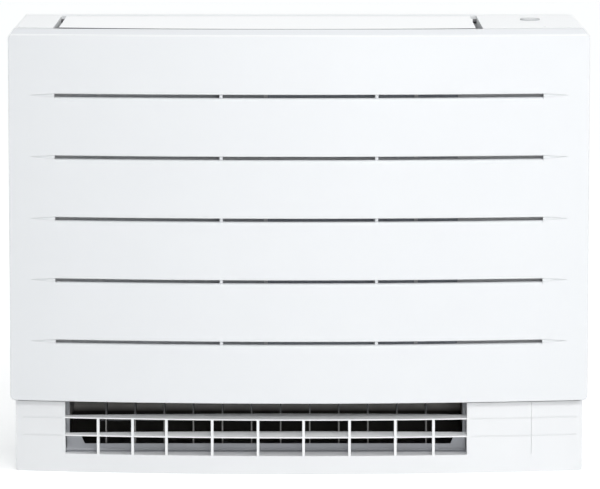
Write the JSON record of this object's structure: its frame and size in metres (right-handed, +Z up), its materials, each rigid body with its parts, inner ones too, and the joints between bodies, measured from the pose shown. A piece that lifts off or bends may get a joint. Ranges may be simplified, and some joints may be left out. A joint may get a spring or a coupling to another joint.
{
  "type": "floor console air conditioner",
  "caption": "White floor console air conditioner with a bowed slotted front panel, a top flap and a lower grille outlet with swinging vanes.",
  "frame": {"origin": "centre of the base on the floor", "axes": "+Z up, front towards -Y, +X to the right seen from the front"},
  "size_m": [0.75, 0.238, 0.586],
  "materials": {
    "panel_white": "satin white moulding",
    "case_white": "fine matt white moulding",
    "vane_grey": "matt dark grey",
    "flap_grey": "matt mid grey",
    "dark_plastic": "matt near black",
    "button_white": "satin white",
    "lamp_lens": "smoked lens",
    "filter_mesh": "fine mesh in a grey frame",
    "fin_aluminium": "thin blue-grey fins",
    "zinc_steel": "zinc plated sheet",
    "bright_steel": "turned steel",
    "copper": "copper tube and brass nuts",
    "board_green": "solder resist",
    "terminal_black": "moulded black"
  },
  "bodies": {
    "cabinet": {"left_side_panel": "case_white", "right_side_panel": "case_white", "back_panel": "case_white", "base_tray": "case_white", "left_top_cover": "case_white", "right_top_cover": "case_white", "rear_rail": "case_white", "lower_front": "case_white", "service_cover": "case_white", "outlet_grille": "case_white", "indicator_lamp": "lamp_lens", "lower_duct": "dark_plastic", "upper_duct": "dark_plastic", "fan_housing": "dark_plastic", "bell_mouth": "dark_plastic", "front_frame": "dark_plastic", "drain_pan": "dark_plastic", "left_filter": "filter_mesh", "right_filter": "filter_mesh", "fin_pack": "fin_aluminium", "left_end_plate": "zinc_steel", "right_end_plate": "zinc_steel", "control_box": "zinc_steel", "control_box_cover": "zinc_steel", "fan_motor": "zinc_steel", "step_motors": "zinc_steel", "motor_screws": "bright_steel", "return_bends": "copper", "gas_pipe": "copper", "liquid_pipe": "copper", "flare_nuts": "copper", "circuit_board": "board_green", "control_board": "board_green", "terminal_block": "terminal_black"},
    "panel": {"front_panel": "panel_white"},
    "top_flap": {"upper_flap": "panel_white"},
    "sill_flap": {"lower_flap": "flap_grey"},
    "fan": {"turbo_fan": "dark_plastic", "fan_shaft": "bright_steel"},
    "button": {"push_button": "button_white"},
    "low_bar": {"lower_tie_bar": "vane_grey"},
    "top_bar": {"upper_tie_bar": "vane_grey"},
    "lower_vane_01_body": {"lower_vane_01": "vane_grey"},
    "lower_vane_02_body": {"lower_vane_02": "vane_grey"},
    "lower_vane_03_body": {"lower_vane_03": "vane_grey"},
    "lower_vane_04_body": {"lower_vane_04": "vane_grey"},
    "lower_vane_05_body": {"lower_vane_05": "vane_grey"},
    "lower_vane_06_body": {"lower_vane_06": "vane_grey"},
    "lower_vane_07_body": {"lower_vane_07": "vane_grey"},
    "lower_vane_08_body": {"lower_vane_08": "vane_grey"},
    "lower_vane_09_body": {"lower_vane_09": "vane_grey"},
    "lower_vane_10_body": {"lower_vane_10": "vane_grey"},
    "lower_vane_11_body": {"lower_vane_11": "vane_grey"},
    "lower_vane_12_body": {"lower_vane_12": "vane_grey"},
    "upper_vane_01_body": {"upper_vane_01": "vane_grey"},
    "upper_vane_02_body": {"upper_vane_02": "vane_grey"},
    "upper_vane_03_body": {"upper_vane_03": "vane_grey"},
    "upper_vane_04_body": {"upper_vane_04": "vane_grey"},
    "upper_vane_05_body": {"upper_vane_05": "vane_grey"},
    "upper_vane_06_body": {"upper_vane_06": "vane_grey"}
  },
  "joints": [
    {"name": "panel_tilt", "type": "hinge", "parent": "cabinet", "child": "panel", "pos_m": [0, -0.076, 0.098], "axis": [1, 0, 0], "range_deg": [0, 22]},
    {"name": "top_flap_swing", "type": "hinge", "parent": "cabinet", "child": "top_flap", "pos_m": [-0.041, 0.082, 0.578], "axis": [-1, 0, 0], "range_deg": [0, 45]},
    {"name": "sill_flap_swing", "type": "hinge", "parent": "cabinet", "child": "sill_flap", "pos_m": [-0.043, -0.067, 0.0256], "axis": [1, 0, 0], "range_deg": [-15, 20]},
    {"name": "fan_spin", "type": "hinge", "parent": "cabinet", "child": "fan", "pos_m": [-0.043, 0.06, 0.318], "axis": [0, 1, 0], "continuous": true},
    {"name": "button_press", "type": "slide", "parent": "cabinet", "child": "button", "axis": [0, 0.0405, -0.9992], "range_m": [0, 0.0015], "stiffness_N_per_m": 600},
    {"name": "low_bar_slide", "type": "slide", "parent": "cabinet", "child": "low_bar", "axis": [-1, 0, 0], "range_m": [-0.00465, 0.00465]},
    {"name": "lower_vane_01_turn", "type": "hinge", "parent": "cabinet", "child": "lower_vane_01_body", "pos_m": [-0.25255, -0.042, 0.06], "axis": [0, 0, 1], "range_deg": [-25, 25]},
    {"name": "lower_vane_02_turn", "type": "hinge", "parent": "cabinet", "child": "lower_vane_02_body", "pos_m": [-0.21445, -0.042, 0.06], "axis": [0, 0, 1], "range_deg": [-25, 25]},
    {"name": "lower_vane_03_turn", "type": "hinge", "parent": "cabinet", "child": "lower_vane_03_body", "pos_m": [-0.17635, -0.042, 0.06], "axis": [0, 0, 1], "range_deg": [-25, 25]},
    {"name": "lower_vane_04_turn", "type": "hinge", "parent": "cabinet", "child": "lower_vane_04_body", "pos_m": [-0.13825, -0.042, 0.06], "axis": [0, 0, 1], "range_deg": [-25, 25]},
    {"name": "lower_vane_05_turn", "type": "hinge", "parent": "cabinet", "child": "lower_vane_05_body", "pos_m": [-0.10015, -0.042, 0.06], "axis": [0, 0, 1], "range_deg": [-25, 25]},
    {"name": "lower_vane_06_turn", "type": "hinge", "parent": "cabinet", "child": "lower_vane_06_body", "pos_m": [-0.06205, -0.042, 0.06], "axis": [0, 0, 1], "range_deg": [-25, 25]},
    {"name": "lower_vane_07_turn", "type": "hinge", "parent": "cabinet", "child": "lower_vane_07_body", "pos_m": [-0.02395, -0.042, 0.06], "axis": [0, 0, 1], "range_deg": [-25, 25]},
    {"name": "lower_vane_08_turn", "type": "hinge", "parent": "cabinet", "child": "lower_vane_08_body", "pos_m": [0.01415, -0.042, 0.06], "axis": [0, 0, 1], "range_deg": [-25, 25]},
    {"name": "lower_vane_09_turn", "type": "hinge", "parent": "cabinet", "child": "lower_vane_09_body", "pos_m": [0.05225, -0.042, 0.06], "axis": [0, 0, 1], "range_deg": [-25, 25]},
    {"name": "lower_vane_10_turn", "type": "hinge", "parent": "cabinet", "child": "lower_vane_10_body", "pos_m": [0.09035, -0.042, 0.06], "axis": [0, 0, 1], "range_deg": [-25, 25]},
    {"name": "lower_vane_11_turn", "type": "hinge", "parent": "cabinet", "child": "lower_vane_11_body", "pos_m": [0.12845, -0.042, 0.06], "axis": [0, 0, 1], "range_deg": [-25, 25]},
    {"name": "lower_vane_12_turn", "type": "hinge", "parent": "cabinet", "child": "lower_vane_12_body", "pos_m": [0.16655, -0.042, 0.06], "axis": [0, 0, 1], "range_deg": [-25, 25]},
    {"name": "top_bar_slide", "type": "slide", "parent": "cabinet", "child": "top_bar", "axis": [-1, 0, 0], "range_m": [-0.00465, 0.00465]},
    {"name": "upper_vane_01_turn", "type": "hinge", "parent": "cabinet", "child": "upper_vane_01_body", "pos_m": [-0.255, 0.04603, 0.532], "axis": [0, 0, 1], "range_deg": [-25, 25]},
    {"name": "upper_vane_02_turn", "type": "hinge", "parent": "cabinet", "child": "upper_vane_02_body", "pos_m": [-0.169, 0.04603, 0.532], "axis": [0, 0, 1], "range_deg": [-25, 25]},
    {"name": "upper_vane_03_turn", "type": "hinge", "parent": "cabinet", "child": "upper_vane_03_body", "pos_m": [-0.083, 0.04603, 0.532], "axis": [0, 0, 1], "range_deg": [-25, 25]},
    {"name": "upper_vane_04_turn", "type": "hinge", "parent": "cabinet", "child": "upper_vane_04_body", "pos_m": [0.003, 0.04603, 0.532], "axis": [0, 0, 1], "range_deg": [-25, 25]},
    {"name": "upper_vane_05_turn", "type": "hinge", "parent": "cabinet", "child": "upper_vane_05_body", "pos_m": [0.089, 0.04603, 0.532], "axis": [0, 0, 1], "range_deg": [-25, 25]},
    {"name": "upper_vane_06_turn", "type": "hinge", "parent": "cabinet", "child": "upper_vane_06_body", "pos_m": [0.175, 0.04603, 0.532], "axis": [0, 0, 1], "range_deg": [-25, 25]}
  ],
  "couplings": [
    {"joint": "lower_vane_01_turn", "follows": "low_bar_slide", "rad_per_m": 93.859},
    {"joint": "lower_vane_02_turn", "follows": "low_bar_slide", "rad_per_m": 93.859},
    {"joint": "lower_vane_03_turn", "follows": "low_bar_slide", "rad_per_m": 93.859},
    {"joint": "lower_vane_04_turn", "follows": "low_bar_slide", "rad_per_m": 93.859},
    {"joint": "lower_vane_05_turn", "follows": "low_bar_slide", "rad_per_m": 93.859},
    {"joint": "lower_vane_06_turn", "follows": "low_bar_slide", "rad_per_m": 93.859},
    {"joint": "lower_vane_07_turn", "follows": "low_bar_slide", "rad_per_m": 93.859},
    {"joint": "lower_vane_08_turn", "follows": "low_bar_slide", "rad_per_m": 93.859},
    {"joint": "lower_vane_09_turn", "follows": "low_bar_slide", "rad_per_m": 93.859},
    {"joint": "lower_vane_10_turn", "follows": "low_bar_slide", "rad_per_m": 93.859},
    {"joint": "lower_vane_11_turn", "follows": "low_bar_slide", "rad_per_m": 93.859},
    {"joint": "lower_vane_12_turn", "follows": "low_bar_slide", "rad_per_m": 93.859},
    {"joint": "upper_vane_01_turn", "follows": "top_bar_slide", "rad_per_m": 93.859},
    {"joint": "upper_vane_02_turn", "follows": "top_bar_slide", "rad_per_m": 93.859},
    {"joint": "upper_vane_03_turn", "follows": "top_bar_slide", "rad_per_m": 93.859},
    {"joint": "upper_vane_04_turn", "follows": "top_bar_slide", "rad_per_m": 93.859},
    {"joint": "upper_vane_05_turn", "follows": "top_bar_slide", "rad_per_m": 93.859},
    {"joint": "upper_vane_06_turn", "follows": "top_bar_slide", "rad_per_m": 93.859}
  ]
}
